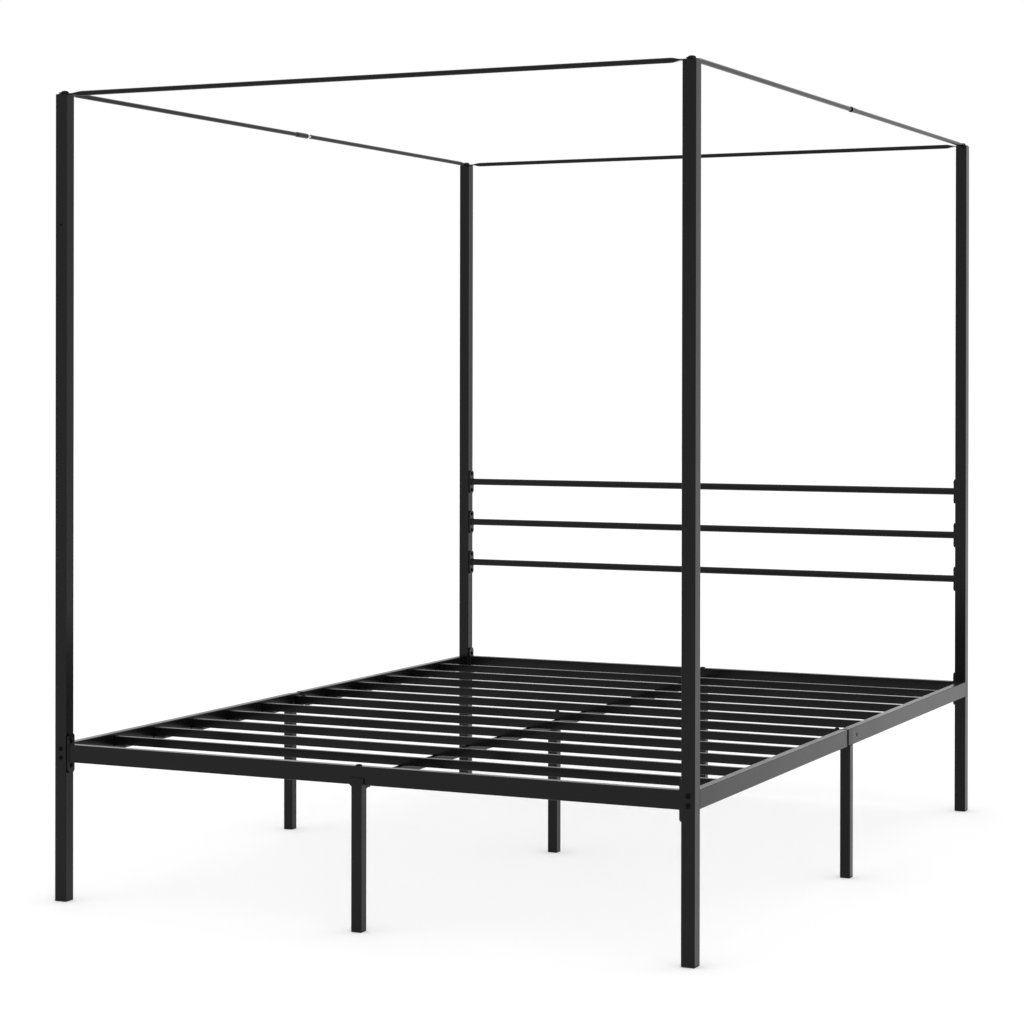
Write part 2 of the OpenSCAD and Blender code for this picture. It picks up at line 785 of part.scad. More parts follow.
// Threaded studs that hold the rear rods to the couplers
module canopy_studs() {
    color(zinc) {
        on_side(-1) translate([left_coupler_end_y - stud_hold_l, 0, 0]) along_x()
            cylinder(d = bolt_d, h = 2 * stud_hold_l + left_stud_gap);
        on_side(1) translate([right_coupler_end_y - stud_hold_l, 0, 0]) along_x()
            cylinder(d = bolt_d, h = 2 * stud_hold_l);
    }
}

module canopy_bolts() {
    color(bolt_black)
        for (sx = [-1, 1], sy = [-1, 1])
            translate([sx * post_x, sy * post_y, post_top_z + 2 * rod_tab_t])
                dome_bolt(canopy_bolt_d, canopy_bolt_l, canopy_head_d, canopy_head_h);
}

// ---- Slats ----

// Slat number i, counted from the foot. Its underside has a hole for each
// locating stud; the middle one is drilled through for bolts instead.
module slat(i) {
    color(steel_black)
        translate([0, slat_y(i), slat_top_z - slat_h / 2])
        difference() {
            translate([-slat_half_l, 0, 0]) along_x()
                rect_tube(slat_w, slat_h, slat_wall, slat_corner_r, 2 * slat_half_l);
            if (i == middle_slat) {
                for (x = [-1, 0, 1])
                    translate([x * (side_rail_in_x - cleat_bolt_x), 0, 0]) bolt_hole(slat_h + 2 * cut);
            } else {
                for (sx = [-1, 1])
                    translate([sx * (side_rail_in_x - cleat_stud_x), 0, -slat_h / 2])
                        cylinder(d = cleat_stud_d + 2 * hole_gap, h = 4 * slat_wall, center = true);
            }
        }
}

// Two bolts into the cleats and a long one through the beam and the saddle
module slat_bolts() {
    color(bolt_black)
        for (x = [-1, 0, 1])
            translate([x * (side_rail_in_x - cleat_bolt_x), slat_y(middle_slat), slat_top_z])
                frame_bolt(x == 0 ? middle_bolt_l : slat_bolt_l);
}

module slat_bolt_nuts() {
    color(zinc)
        for (x = [-1, 0, 1])
            translate([x * (side_rail_in_x - cleat_bolt_x), slat_y(middle_slat),
                       x == 0 ? beam_bottom_z - bracket_t - nut_h
                              : slat_bottom_z - cleat_t - nut_h])
                nut();
}

// ---- Centre beam ----

module beam_bar(y0, y1, shrink = 0) {
    translate([0, y0, beam_z]) along_y() linear_extrude(height = y1 - y0)
        round_rect(beam_w - 2 * shrink, beam_h - 2 * shrink, slat_corner_r);
}

module beam_inside(y0, y1, shrink = 0) {
    beam_bar(y0, y1, shrink + slat_wall);
}

module centre_beam_front() {
    color(steel_black)
        difference() {
            beam_bar(-beam_end_y, beam_joint_y);
            beam_inside(-beam_end_y - cut, beam_joint_y + cut);
            beam_end_holes(-1);
        }
}

// The rear half carries the spigot that plugs into the front half
module centre_beam_rear() {
    fit = slat_wall + beam_gap;
    color(steel_black)
        difference() {
            union() {
                beam_bar(beam_joint_y, beam_end_y);
                beam_bar(beam_joint_y - beam_spigot_hold_l, beam_joint_y + cut, fit);
            }
            beam_inside(beam_joint_y - beam_spigot_hold_l - cut, beam_joint_y + beam_spigot_l, fit);
            beam_inside(beam_joint_y + beam_spigot_l - cut, beam_end_y + cut);
            beam_end_holes(1);
            translate([0, slat_y(middle_slat), beam_z]) bolt_hole(beam_h + 2 * cut);
        }
}

module beam_end_holes(sy) {
    translate([0, sy * tail_screw_y, beam_bottom_z]) bolt_hole(4 * slat_wall);
}

module beam_end_screws() {
    color(bolt_black)
        for (sy = [-1, 1])
            translate([0, sy * tail_screw_y, beam_bottom_z - bracket_t]) rotate([180, 0, 0])
                frame_bolt(bracket_t + beam_h / 2);
}

// ---- Legs ----

// Leg at the middle of the foot rail (sy = -1) or the head rail
module end_leg(sy) {
    color(steel_black)
        translate([0, sy * post_y, 0])
        difference() {
            capped_tube(leg_side, leg_wall, leg_corner_r, glide_h, end_leg_top_z, leg_cap_t);
            translate([0, 0, end_leg_top_z]) bolt_thread(2 * leg_cap_t + 2 * cut);
        }
}

// Leg under one side rail, with the tab that is bolted to the rail's inside
module side_leg(sx) {
    tab_l = leg_tab_h + leg_cap_t;
    color(steel_black)
        mirror([sx > 0 ? 0 : 1, 0, 0])
        difference() {
            union() {
                translate([leg_x, mid_leg_y, 0])
                    capped_tube(leg_side, leg_wall, leg_corner_r, glide_h, rail_bottom_z, leg_cap_t);
                translate([side_rail_in_x - leg_tab_t, leg_tab_y - leg_tab_w / 2,
                           rail_bottom_z + leg_tab_h - tab_l])
                    cube([leg_tab_t, leg_tab_w, tab_l]);
            }
            translate([side_rail_in_x, leg_tab_y, leg_tab_bolt_z]) along_x()
                bolt_hole(4 * leg_tab_t);
        }
}

// Leg under the beam, with the saddle that the beam and the middle slat sit on
module leg_middle() {
    saddle_y0 = mid_leg_y - leg_side / 2;
    saddle_y1 = slat_y(middle_slat) + bolt_head_d;
    cheek_x = beam_w / 2 + seat_gap / 2;
    color(steel_black)
        difference() {
            union() {
                translate([0, mid_leg_y, 0])
                    capped_tube(leg_side, leg_wall, leg_corner_r, glide_h,
                                beam_bottom_z - bracket_t + tiny, leg_cap_t);
                translate([-cheek_x - bracket_t, saddle_y0, beam_bottom_z - bracket_t])
                    cube([2 * (cheek_x + bracket_t), saddle_y1 - saddle_y0, bracket_t]);
                for (x = [-cheek_x - bracket_t, cheek_x])
                    translate([x, saddle_y0, beam_bottom_z - bracket_t])
                        cube([bracket_t, saddle_y1 - saddle_y0, bracket_t + saddle_cheek_h]);
            }
            translate([0, slat_y(middle_slat), beam_bottom_z - bracket_t / 2])
                bolt_hole(bracket_t + 2 * cut);
        }
}

module leg_glides() {
    color(glide_black) {
        for (sy = [-1, 1]) translate([0, sy * post_y, 0]) glide(leg_side, leg_wall, leg_corner_r);
        for (sx = [-1, 0, 1])
            translate([sx * leg_x, mid_leg_y, 0]) glide(leg_side, leg_wall, leg_corner_r);
    }
}

// Bracket between the end leg, its rail and the end of the beam. It is drawn
// for the head end: its lip laps the outside of the rail, and its tail is a
// channel that the end of the beam lies in.
module end_bracket() {
    base_y = riser_y - bracket_t;
    tail_z = beam_bottom_z - bracket_t;
    riser_z0 = min(end_leg_top_z, tail_z);
    cheek_x = beam_w / 2 + seat_gap / 2;
    difference() {
        union() {
            translate([-leg_side / 2, base_y, end_leg_top_z])
                cube([leg_side, end_rail_out_y - base_y + bracket_t, bracket_t]);
            bracket_lip();
            translate([-leg_side / 2, base_y, riser_z0])
                cube([leg_side, bracket_t, max(end_leg_top_z, tail_z) - riser_z0 + bracket_t]);
            translate([-cheek_x - tiny, beam_end_y - bracket_tail_l / 2 - bolt_head_d, tail_z])
                cube([2 * (cheek_x + tiny), bracket_tail_l / 2 + bolt_head_d, bracket_t]);
            for (x = [-cheek_x - bracket_t, cheek_x])
                translate([x, 0, beam_bottom_z]) bracket_cheek();
        }
        translate([0, post_y, end_leg_top_z + bracket_t / 2]) bolt_hole(bracket_t + 2 * cut);
        translate([0, tail_screw_y, tail_z + bracket_t / 2]) bolt_hole(bracket_t + 2 * cut);
    }
}

// The lip on the outside of the rail, with its lower corners cut to the leg
module bracket_lip() {
    w = bracket_w / 2;
    chamfer = w - leg_side / 2;
    translate([0, end_rail_out_y + bracket_t, end_leg_top_z]) rotate([90, 0, 0])
        linear_extrude(height = bracket_t)
        polygon([[-w + chamfer, 0], [w - chamfer, 0], [w, chamfer], [w, bracket_t + bracket_lip_h],
                 [-w, bracket_t + bracket_lip_h], [-w, chamfer]]);
}

// One side of the tail, with z = 0 at the bottom of the beam
module bracket_cheek() {
    along_x() linear_extrude(height = bracket_t)
        polygon([[riser_y - tiny, -bracket_cheek_drop], [riser_y - tiny, bracket_cheek_h],
                 [riser_y - bracket_tail_l, bracket_cheek_h],
                 [riser_y - bracket_tail_l, bracket_cheek_rise - bracket_cheek_drop]]);
}

module leg_bracket_head() {
    color(steel_black) end_bracket();
}

module leg_bracket_foot() {
    color(steel_black) mirror([0, 1, 0]) end_bracket();
}

// Two long bolts down through the end rails and two short ones in the tabs
module leg_bolts() {
    color(bolt_black) {
        for (sy = [-1, 1])
            translate([0, sy * post_y, rail_top_z])
                dome_bolt(bolt_d, leg_bolt_l, rail_top_head_d, bolt_head_h);
        for (sx = [-1, 1])
            translate([sx * (side_rail_in_x - leg_tab_t), leg_tab_y, leg_tab_bolt_z])
                rotate([0, -sx * 90, 0]) frame_bolt(leg_tab_bolt_l);
    }
}

// ---- The pieces ----

post(-1, -1);  // post_foot_left
post(1, -1);  // post_foot_right
post(-1, 1);  // post_head_left
post(1, 1);  // post_head_right
post_glides();
post_weld_nuts();
end_rail(-1);  // foot_rail
end_rail(1);  // head_rail
end_rail_bolts();
side_rail_right_front();
side_rail_right_rear();
side_rail_left_front();
side_rail_left_rear();
side_rail_bolts();
side_rail_joint_screws();
rail_weld_nuts();
headboard_bar(0);  // headboard_bar_top
headboard_bar(1);  // headboard_bar_middle
headboard_bar(2);  // headboard_bar_low
headboard_bolts();
end_rod(-1);  // canopy_rod_foot
end_rod(1);  // canopy_rod_head
canopy_rod_left_front();
canopy_rod_left_rear();
canopy_rod_right_front();
canopy_rod_right_rear();
canopy_coupler_left();
canopy_coupler_right();
canopy_studs();
canopy_bolts();
for (i = [1:slat_count])
    slat(i);
slat_bolts();
slat_bolt_nuts();
centre_beam_front();
centre_beam_rear();
beam_end_screws();
end_leg(-1);  // leg_foot_centre
end_leg(1);  // leg_head_centre
leg_middle();
side_leg(-1);  // leg_left
side_leg(1);  // leg_right
leg_glides();
leg_bracket_foot();
leg_bracket_head();
leg_bolts();
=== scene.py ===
# %% [markdown]
# # A four poster canopy bed
# The bed is a bolted frame of black steel tube: four posts, a slatted platform, three
# headboard bars and a canopy of thin rods. The engineering model is already made and
# arrives as fixed parts, one object for each piece. This notebook gives the parts their
# finishes, makes the small shapes that meshes do better, and sets up the studio.

# %% Load the frame
import json
import math

import bmesh
import bpy
from mathutils import Matrix, Vector


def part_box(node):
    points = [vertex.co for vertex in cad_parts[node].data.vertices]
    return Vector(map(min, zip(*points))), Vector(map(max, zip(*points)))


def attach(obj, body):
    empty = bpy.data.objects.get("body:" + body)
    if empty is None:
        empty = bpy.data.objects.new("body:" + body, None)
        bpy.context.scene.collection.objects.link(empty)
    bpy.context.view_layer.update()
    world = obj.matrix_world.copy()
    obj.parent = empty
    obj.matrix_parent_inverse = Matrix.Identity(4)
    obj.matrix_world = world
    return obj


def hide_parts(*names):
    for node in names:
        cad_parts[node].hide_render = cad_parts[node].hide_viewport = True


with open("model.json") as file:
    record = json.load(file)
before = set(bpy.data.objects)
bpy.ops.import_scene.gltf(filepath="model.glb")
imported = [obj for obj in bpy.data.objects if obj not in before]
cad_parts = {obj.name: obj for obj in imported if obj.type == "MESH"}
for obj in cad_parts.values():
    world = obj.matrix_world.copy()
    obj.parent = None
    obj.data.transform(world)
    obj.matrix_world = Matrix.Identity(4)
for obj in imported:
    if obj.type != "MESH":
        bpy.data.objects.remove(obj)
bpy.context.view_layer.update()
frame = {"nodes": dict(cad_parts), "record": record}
parts = frame["nodes"]
print("parts of the bed:", len(parts))

# %% [markdown]
# ## Writing shader maths as Python
# A shader is a graph of nodes, and maths on it takes one node for each operation. Small
# classes make that readable. `Value` wraps the output of a node, so that `1 - mask` or
# `grain * 0.02` adds the Math node for us, and `Finish` holds one material and adds any
# other node from its type, its settings and what goes into its sockets.

# %% A value in a shader
class Value:
    """The output of a node, with Python's operators for maths on it."""

    def __init__(self, finish, socket):
        self.finish = finish
        self.socket = socket

    def maths(self, operation, first, second=0.0):
        return self.finish.add("ShaderNodeMath", {"operation": operation}, {0: first, 1: second})

    def __add__(self, other):
        return self.maths("ADD", self, other)

    def __sub__(self, other):
        return self.maths("SUBTRACT", self, other)

    def __rsub__(self, other):
        return self.maths("SUBTRACT", other, self)

    def __mul__(self, other):
        return self.maths("MULTIPLY", self, other)

    __radd__ = __add__
    __rmul__ = __mul__

    def sign(self):
        return self.maths("SIGN", self)

    def between(self, low, high):
        """0 below low, 1 above high and a smooth step from one to the other."""
        return self.finish.add(
            "ShaderNodeMapRange", {"interpolation_type": "SMOOTHSTEP"}, {0: self, 1: low, 2: high}
        )


# %% A material and the one method that adds its nodes
class Finish:
    """One material. Its shader is a Principled BSDF."""

    def __init__(self, name, constants):
        self.material = bpy.data.materials.new(name)
        self.material.use_nodes = True
        self.tree = self.material.node_tree
        self.shader = self.tree.nodes["Principled BSDF"]
        for socket, value in constants.items():
            self.shader.inputs[socket].default_value = value

    def put(self, socket, what):
        if isinstance(what, Value):
            self.tree.links.new(what.socket, socket)
        else:
            socket.default_value = what

    def add(self, kind, settings=None, sockets=None, output=0):
        node = self.tree.nodes.new(kind)
        for name, value in (settings or {}).items():
            setattr(node, name, value)
        for name, what in (sockets or {}).items():
            self.put(node.inputs[name], what)
        return Value(self, node.outputs[output])

    def place(self):
        """Where a point of the surface is, in metres."""
        return self.add("ShaderNodeTexCoord", output="Object")

    def noise(self, size, detail=2.0):
        """Noise from 0 to 1 whose blotches are about size metres across."""
        sockets = {"Vector": self.place(), "Scale": 1 / size, "Detail": detail}
        return self.add("ShaderNodeTexNoise", {}, sockets)

    def axis(self, vector, letter):
        """One of the X, Y and Z of a vector."""
        return self.add("ShaderNodeSeparateXYZ", {}, {"Vector": vector}, output=letter)

    def mix(self, factor, colour_a, colour_b):
        settings = {"data_type": "RGBA"}
        return self.add("ShaderNodeMix", settings, {0: factor, 6: colour_a, 7: colour_b}, output=2)

    def bump(self, height, distance):
        """Normals for a height from 0 to 1 that stands distance metres proud."""
        sockets = {"Height": height, "Distance": distance, "Strength": 1.0}
        return self.add("ShaderNodeBump", {}, sockets)

    def wear(self, colour, roughness, normal=None, metallic=None):
        """Links what varies over the surface to the shader."""
        self.put(self.shader.inputs["Base Color"], colour)
        self.put(self.shader.inputs["Roughness"], roughness)
        if normal:
            self.put(self.shader.inputs["Normal"], normal)
        if metallic:
            self.put(self.shader.inputs["Metallic"], metallic)
        return self.material


# %% [markdown]
# ## Black powder coat
# The tube is sprayed with dry black powder and baked, so the paint flows into a hard skin
# with a faint orange peel. It could be one dark grey, but then the faces would all look
# alike. On the real coat almost nothing comes back square on, and the top faces mirror the
# bright room, because any smooth surface reflects more at a low angle. A Principled shader
# does that by itself from its index of refraction, so the colour can be nearly black and
# the reflection does the rest. The nodes add what a plain black lacks: the peel as a very
# low bump, a speckle of pigment, soft patches where the coat is thicker and glossier, and
# a breath of dust on what faces up.

# %% Powder coat
COAT_BLACK = (0.0018, 0.0018, 0.0020, 1)
COAT_SPECK = (0.0045, 0.0045, 0.0048, 1)
DUST_GREY = (0.20, 0.20, 0.19, 1)
coat_ior = 1.28
lowest_roughness = 0.19
patches_dull = 0.06
dust_dulls = 0.05
dust_cover = 0.04
peel_height = 0.00003


def dust_on(coat):
    """Up to 1 where dust lies, which is in blotches on what faces up."""
    up = coat.axis(coat.add("ShaderNodeNewGeometry", output="Normal"), "Z")
    return up.between(0.75, 1.0) * coat.noise(0.03, detail=4.0).between(0.35, 0.8)


def powder(coat):
    """Colour, roughness and normals of baked powder."""
    speckle = coat.noise(0.0011, detail=1.0).between(0.35, 0.75)
    patches = coat.noise(0.18, detail=3.0).between(0.3, 0.7)
    dust = dust_on(coat)
    colour = coat.mix(speckle, COAT_BLACK, COAT_SPECK)
    colour = coat.mix(dust * dust_cover, colour, DUST_GREY)
    roughness = patches * patches_dull + dust * dust_dulls + lowest_roughness
    return colour, roughness, coat.bump(coat.noise(0.0022), peel_height)


def tube_coat():
    coat = Finish("tube_black", {"IOR": coat_ior})
    return coat.wear(*powder(coat))


tube_black = tube_coat()
print("finish:", tube_black.name)

# %% [markdown]
# ## Rail halves with painted joint shade
# Each side rail plugs together near the middle, where the half with the insert goes into the
# other half. The shade in the gap at the mouth is painted: the last stretch of tube before the
# insert, and the insert itself, get a near-black, rough, metallic colour instead of the powder.
# That stretch shows as a dark line at the joint, a painted shadow. Two materials on one mesh
# would need a cut between them, so the same powder gets a mask instead: it goes by the distance
# past the middle of the bed, on the side that the insert points to.

# %% Powder with a painted shade line at the joint
# Near-black colour of the painted shade in the joint gap, and where and how fast it starts
JOINT_SHADE_BLACK = (0.002, 0.002, 0.002, 1)
painted_shade_from = 0.028
painted_shade_fade = 0.0004
painted_shade_dulls = 0.5


# Powder whose end turns near-black, rough and metallic past a set distance: painted shade at the
# joint mouth
def joint_shade_coat():
    coat = Finish("joint_shade_black", {"IOR": coat_ior})
    colour, roughness, normal = powder(coat)
    which_rail = coat.axis(coat.place(), "X").sign()
    past_middle = 0 - coat.axis(coat.place(), "Y") * which_rail
    # Mask of the painted joint shade: up to 1 from a set distance past the middle, on the insert's
    # side
    painted_shade = past_middle.between(painted_shade_from, painted_shade_from + painted_shade_fade)
    colour = coat.mix(painted_shade, colour, JOINT_SHADE_BLACK)
    return coat.wear(colour, roughness + painted_shade * painted_shade_dulls, normal, painted_shade)


joint_shade_black = joint_shade_coat()
print("finish:", joint_shade_black.name)

# %% [markdown]
# ## Blackened screws, bright zinc and moulded plastic
# The bolts are steel with a thin black oxide, which is smoother and a little browner than
# the powder. The studs and the hidden nuts are zinc plated: a bright metal with a fine
# grain of crystals. The glides are moulded in a matt black plastic with an even spark
# eroded texture. Flat colours would do from far away, but bolts are small shapes with much
# glare, so each finish gets two colours in blotches and a roughness that varies with them.

# %% Bolts, zinc and plastic
def black_oxide():
    steel = Finish("bolt_black", {"IOR": 1.16})
    oxide = (0.0005, 0.0005, 0.0005, 1)
    worn = (0.003, 0.0029, 0.0028, 1)
    grain = steel.noise(0.0006)
    rubbed = steel.noise(0.004, detail=3.0).between(0.45, 0.75)
    colour = steel.mix(rubbed, oxide, worn)
    return steel.wear(colour, grain * 0.10 + 0.24, steel.bump(grain, 0.00001))


def bright_zinc():
    zinc = Finish("zinc_bright", {"Metallic": 1.0})
    clean = (0.62, 0.63, 0.65, 1)
    dulled = (0.46, 0.46, 0.45, 1)
    crystals = zinc.noise(0.0014, detail=3.0)
    tarnish = zinc.noise(0.02, detail=3.0).between(0.4, 0.8)
    colour = zinc.mix(tarnish, clean, dulled)
    return zinc.wear(colour, crystals * 0.18 + 0.16, zinc.bump(crystals, 0.000008))


def moulded_black():
    plastic = Finish("glide_black", {"IOR": 1.36})
    moulded = (0.004, 0.004, 0.004, 1)
    scuffed = (0.010, 0.010, 0.010, 1)
    spark = plastic.noise(0.0005, detail=1.0)
    scuffs = plastic.noise(0.008, detail=4.0).between(0.5, 0.8)
    colour = plastic.mix(scuffs, moulded, scuffed)
    return plastic.wear(colour, scuffs * 0.12 + 0.48, plastic.bump(spark, 0.00003))


finishes = {
    "frame_steel": tube_black,
    "bolt_steel": black_oxide(),
    "plated_steel": bright_zinc(),
    "glide_plastic": moulded_black(),
}
print("finishes:", sorted(finishes))

# %% [markdown]
# ## Giving each part its finish
# The record of the model says which finish slot each part takes, so the loop reads it from
# there and no part can be forgotten. Only the two rail halves with an insert differ: they
# wear the powder with the painted shade line at the joint.

# %% Paint the parts
PLUG_HALVES = ("side_rail_right_rear", "side_rail_left_front")
for row in frame["record"]["subparts"]:
    node = row["node"]
    finish = joint_shade_black if node in PLUG_HALVES else finishes[row["material_slot"]]
    parts[node].data.materials.clear()
    parts[node].data.materials.append(finish)

# %% [markdown]
# ## Meshes from rings
# Rods, bolts, glides and weld beads have one thing in common: a cross-section that changes
# as it travels along a line. A stack of primitives would show seams where they meet, and a
# curve object can't change its section, so each piece is built as rings of points, with a
# band of quads between each ring and the next. `shell` makes the bands, and `add_piece`
# turns the mesh into an object that rides on the bed and stands for its engineering part.

# %% Shells and pieces
UP = Vector((0, 0, 1))
SMOOTH_UNDER = math.radians(35)


def shell(mesh, rings, loop=False):
    """Joins rings of points with quads, and closes the two ends unless it is a loop."""
    rows = [[mesh.verts.new(point) for point in ring] for ring in rings]
    for low, high in zip(rows, rows[1:] + (rows[:1] if loop else [])):
        for k in range(len(low)):
            n = (k + 1) % len(low)
            mesh.faces.new((low[k], low[n], high[n], high[k]))
    if not loop:
        mesh.faces.new(rows[0][::-1])
        mesh.faces.new(rows[-1])


def add_piece(name, mesh, slot, *nodes):
    """Makes an object of a finished bmesh. It stands for nodes and wears slot's finish."""
    bmesh.ops.recalc_face_normals(mesh, faces=mesh.faces)
    data = bpy.data.meshes.new(name)
    mesh.to_mesh(data)
    mesh.free()
    data.shade_smooth()
    data.set_sharp_from_angle(angle=SMOOTH_UNDER)
    data.materials.append(finishes[slot])
    piece = bpy.data.objects.new(name, data)
    bpy.context.scene.collection.objects.link(piece)
    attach(piece, "root")
    if nodes:
        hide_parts(*nodes)
    print(name, "faces:", len(data.polygons))


def middle(node):
    """The middle of the box of an engineering part."""
    low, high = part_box(node)
    return (low + high) / 2


def ease(t):
    """A soft step from 0 to 1."""
    t = min(max(t, 0.0), 1.0)
    return t * t * (3 - 2 * t)


# %% [markdown]
# ## Canopy rods
# Each rod is a thin tube whose ends are squashed flat in a press, so that a bolt can go
# through. The steel isn't stretched by that, so the girth stays the same: as the tube gets
# thinner it gets wider. `rod_rings` follows this rule, with a section made of two half
# circles and two flats, whose flats grow as the thickness shrinks. The thickness takes a
# soft step between the tab and the round tube, as the press leaves it, which a plain taper
# between two sections would miss.

# %% Rod sections
rod_d = 0.011
tab_thick = 0.002
tab_length = 0.035
swell_length = 0.026
tab_corner = 0.003
rod_sides = 32
corner_steps = 4
swell_steps = 12


def round_rings(start, along, length, radius):
    """The two ends of a plain round rod."""
    across = UP.cross(along)
    turns = [math.tau * k / rod_sides for k in range(rod_sides)]
    ring = [radius * (math.cos(a) * across + math.sin(a) * UP) for a in turns]
    return [[start + s * along + point for point in ring] for s in (0, length)]


def rod_stations(length, squashed):
    """Distances along a rod where a ring is needed; squashed says which ends are flat."""
    turns = [math.pi / 2 * k / corner_steps for k in range(corner_steps + 1)]
    near = [tab_corner * (1 - math.cos(a)) for a in turns]
    near += [tab_length + swell_length * k / swell_steps for k in range(swell_steps + 1)]
    first = near if squashed[0] else [0.0]
    last = near if squashed[1] else [0.0]
    return first + [length - s for s in reversed(last)]


def rod_rings(start, along, length, squashed):
    """Rings of a rod, each with the same girth but for the round corners of its tabs."""
    across = UP.cross(along)
    rings = []
    for s in rod_stations(length, squashed):
        reach = min([s] * squashed[0] + [length - s] * squashed[1])
        thick = tab_thick + (rod_d - tab_thick) * ease((reach - tab_length) / swell_length)
        flat = math.pi * (rod_d - thick) / 2
        corner = max(tab_corner - reach, 0)
        trim = tab_corner - math.sqrt(tab_corner**2 - corner**2)
        narrow = 1 - 2 * trim / (flat + thick)
        ring = []
        for k in range(rod_sides):
            a = math.tau * (k + 0.5) / rod_sides
            wide = (math.copysign(flat, math.cos(a)) + thick * math.cos(a)) / 2 * narrow
            ring.append(start + s * along + wide * across + thick / 2 * math.sin(a) * UP)
        rings.append(ring)
    return rings


# %% Six rods
ROD_ENDS = {
    "canopy_rod_foot": (True, True),
    "canopy_rod_head": (True, True),
    "canopy_rod_left_front": (True, False),
    "canopy_rod_left_rear": (False, True),
    "canopy_rod_right_front": (True, False),
    "canopy_rod_right_rear": (False, True),
}
SPIGOT_ROD = "canopy_rod_right_front"
spigot_shows = 0.018
spigot_r = 0.0045
spigot_sunk = 0.001

for node, squashed in ROD_ENDS.items():
    low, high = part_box(node)
    along = Vector((1, 0, 0)) if all(squashed) else Vector((0, 1, 0))
    start = middle(node)
    start -= (start - low).dot(along) * along
    length = (high - low).dot(along)
    mesh = bmesh.new()
    if node == SPIGOT_ROD:
        round_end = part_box("canopy_coupler_right")[0].y - spigot_shows - low.y
        inside = start + (round_end - spigot_sunk) * along
        shell(mesh, round_rings(inside, along, length - round_end + spigot_sunk, spigot_r))
        length = round_end
    shell(mesh, rod_rings(start, along, length, squashed))
    add_piece(node.replace("canopy_rod", "pressed_rod"), mesh, "frame_steel", node)

# %% [markdown]
# ## Threaded studs
# Behind the left coupler a short piece of threaded stud shows between the coupler and the
# rod. A thread could be a bump in the material, but it would vanish along the outline. Here
# it is real: a ring every sixth of a turn, whose radius goes down and up with the helix.

# %% Studs
stud_d = 0.006
stud_pitch = 0.001
thread_depth = 0.00061
stud_hold = 0.016
FLANK_SLOPE = 1.2
rings_per_turn = 6
stud_sides = 24


def thread_rings(start, along, length):
    """Rings of a threaded rod. The groove has sloping flanks and a short flat root."""
    across = UP.cross(along)
    rings = []
    for i in range(round(rings_per_turn * length / stud_pitch) + 1):
        ring = []
        for k in range(stud_sides):
            turn = k / stud_sides
            phase = (i / rings_per_turn - turn) % 1
            groove = min(1, FLANK_SLOPE * (1 - abs(2 * phase - 1)))
            radius = stud_d / 2 - thread_depth * groove
            a = math.tau * turn
            out = math.cos(a) * across + math.sin(a) * UP
            ring.append(start + i / rings_per_turn * stud_pitch * along + radius * out)
        rings.append(ring)
    return rings


mesh = bmesh.new()
for side in ("left", "right"):
    coupler = "canopy_coupler_" + side
    start = middle(coupler)
    start.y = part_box(coupler)[1].y - stud_hold
    end_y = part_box("canopy_rod_" + side + "_rear")[0].y + stud_hold
    shell(mesh, thread_rings(start, Vector((0, 1, 0)), end_y - start.y))
add_piece("threaded_studs", mesh, "plated_steel", "canopy_studs")

# %% [markdown]
# ## Bolts
# The bed is held by button head bolts: a low dome with a rolled rim and a hex socket. The
# engineering model has the right sizes and places, but its domes meet the seat in a sharp
# edge. Each bolt is turned again here as on a lathe. Nothing is measured by hand: the mesh
# of the part is split into its separate bolts, and each one tells where its axis, its seat
# and its head are.

# %% Where each bolt is
SAME_POINT = 1e-6
SAME_HEIGHT = 1e-5
ON_THE_RIM = 0.98  # share of the head's radius


def islands(node):
    """The separate solids in one part's mesh, each as a list of points."""
    mesh = bmesh.new()
    mesh.from_mesh(parts[node].data)
    bmesh.ops.remove_doubles(mesh, verts=mesh.verts, dist=SAME_POINT)
    left = set(mesh.verts)
    found = []
    for vert in mesh.verts:
        if vert not in left:
            continue
        left.remove(vert)
        heap = [vert]
        points = []
        while heap:
            here = heap.pop()
            points.append(here.co.copy())
            for edge in here.link_edges:
                there = edge.other_vert(here)
                if there in left:
                    left.remove(there)
                    heap.append(there)
        found.append(points)
    mesh.free()
    return found


def read_bolt(points):
    """Seat, direction of the head, and sizes of one bolt, from the points of its mesh."""
    low = Vector([min(p[i] for p in points) for i in range(3)])
    high = Vector([max(p[i] for p in points) for i in range(3)])
    axis = max(range(3), key=lambda i: high[i] - low[i])
    other = (axis + 1) % 3
    centre = (low + high) / 2
    head_r = (high[other] - low[other]) / 2

    def off_axis(p):
        return math.hypot(*(p[i] - centre[i] for i in range(3) if i != axis))

    rim = [p[axis] for p in points if off_axis(p) > ON_THE_RIM * head_r]
    seat = sum(rim) / len(rim)
    sign = 1 if high[axis] - seat < seat - low[axis] else -1
    top, tip = (high[axis], low[axis]) if sign > 0 else (low[axis], high[axis])
    shank_r = max(off_axis(p) for p in points if abs(p[axis] - tip) < SAME_HEIGHT)
    centre[axis] = seat
    out = Vector([sign * (i == axis) for i in range(3)])
    return centre, out, head_r, abs(top - seat), shank_r, abs(seat - tip)


# %% Turning a bolt
bolt_sides = 36
dome_steps = 8
RIM_SHARE = 0.22  # height of the rim, as a share of the head
SOCKET_SHARE = 0.62  # width of the socket, as a share of the shank
MOUTH_SHARE = 1.25  # width of the round mouth, as a share of the socket
CHAMFER_SHARE = 0.2  # chamfer on the tip, as a share of the shank
SOCKET_TOP = 0.06  # depths in the head where the hexagon starts and ends
SOCKET_FLOOR = 0.6


def hexagon(angle, flat_r):
    """Distance from the middle to the side of a hexagon, at an angle."""
    return flat_r / math.cos((angle + math.pi / 6) % (math.pi / 3) - math.pi / 6)


